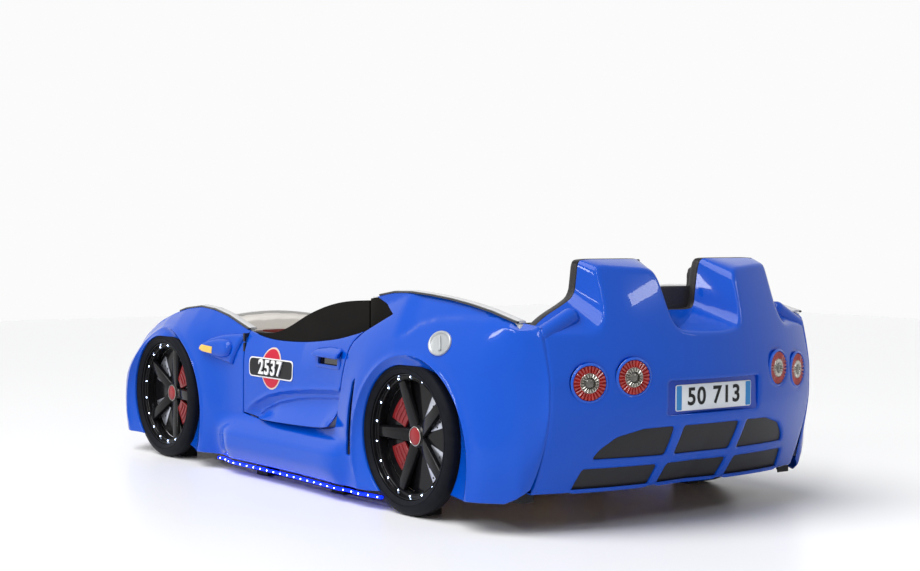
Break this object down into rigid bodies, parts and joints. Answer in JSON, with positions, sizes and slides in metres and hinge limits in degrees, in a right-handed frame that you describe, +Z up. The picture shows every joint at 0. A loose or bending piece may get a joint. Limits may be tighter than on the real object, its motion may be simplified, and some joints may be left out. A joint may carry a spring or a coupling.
{
  "type": "car bed for children",
  "caption": "Children's bed shaped as a low sports car, with hinged side doors, lit wheels and sills, two headrest humps and a mattress on slats.",
  "frame": {"origin": "on the floor, below the middle of the bed's bounding box", "axes": "+X towards the nose, +Y towards the car's left side, +Z up"},
  "size_m": [2.274, 1.1044, 0.652],
  "materials": {
    "body_blue": "gloss",
    "black_plastic": "gloss",
    "dark_grille": "satin",
    "tyre_black": "matte",
    "rim_black": "gloss",
    "disc_silver": "brushed",
    "caliper_red": "gloss",
    "lamp_red": "gloss",
    "lamp_clear": "gloss",
    "lamp_amber": "gloss",
    "lights_blue": "gloss",
    "plate_white": "satin",
    "badge": "satin",
    "silver_cap": "satin",
    "board_white": "lacquered",
    "pine": "raw",
    "leather_black": "satin",
    "piping_grey": "satin",
    "pad_cream": "matte",
    "mattress_white": "matte",
    "steel": "plated",
    "driver_black": "matte"
  },
  "bodies": {
    "bed": {"side_panel_left": "body_blue", "side_panel_right": "body_blue", "arch_bands": "body_blue", "rear_panel": "body_blue", "nose_panel": "body_blue", "headlamp_lenses": "lamp_clear", "nose_grille": "dark_grille", "tail_lamp_bezels": "black_plastic", "tail_lamp_reds": "lamp_red", "tail_lamp_clears": "lamp_clear", "rear_grille": "dark_grille", "number_plate": "plate_white", "side_board_left": "board_white", "side_board_right": "board_white", "head_board": "board_white", "foot_board": "board_white", "base_rails": "pine", "centre_beam": "pine", "slats": "pine", "feet": "pine", "mattress": "mattress_white", "corner_brackets": "steel", "screws": "steel", "panel_battens": "pine", "head_trim": "leather_black", "head_pad": "leather_black", "foot_pad": "pad_cream", "led_driver": "driver_black", "top_trim": "piping_grey", "sill_lights": "lights_blue", "marker_pods": "body_blue", "marker_lamps": "lamp_amber", "intake_trims": "black_plastic", "quarter_windows": "black_plastic", "door_hinge_frames": "steel", "filler_cap": "silver_cap", "brake_discs": "disc_silver", "brake_calipers": "caliper_red", "hub_caps": "caliper_red", "wheel_lamps": "lights_blue", "tyres": "tyre_black", "rims": "rim_black"},
    "door_left": {"door_skin_left": "body_blue", "door_board_left": "board_white", "door_window_left": "black_plastic", "door_handle_left": "body_blue", "door_badge_left": "badge", "door_hinge_leaf_left": "steel"},
    "door_right": {"door_skin_right": "body_blue", "door_board_right": "board_white", "door_window_right": "black_plastic", "door_handle_right": "body_blue", "door_badge_right": "badge", "door_hinge_leaf_right": "steel"}
  },
  "joints": [
    {"name": "door_left_hinge", "type": "hinge", "parent": "bed", "child": "door_left", "pos_m": [0.27, 0.497, 0.38], "axis": [0, 0, 1], "range_deg": [-60, 0]},
    {"name": "door_right_hinge", "type": "hinge", "parent": "bed", "child": "door_right", "pos_m": [0.27, -0.497, 0.38], "axis": [0, 0, 1], "range_deg": [0, 60]}
  ]
}
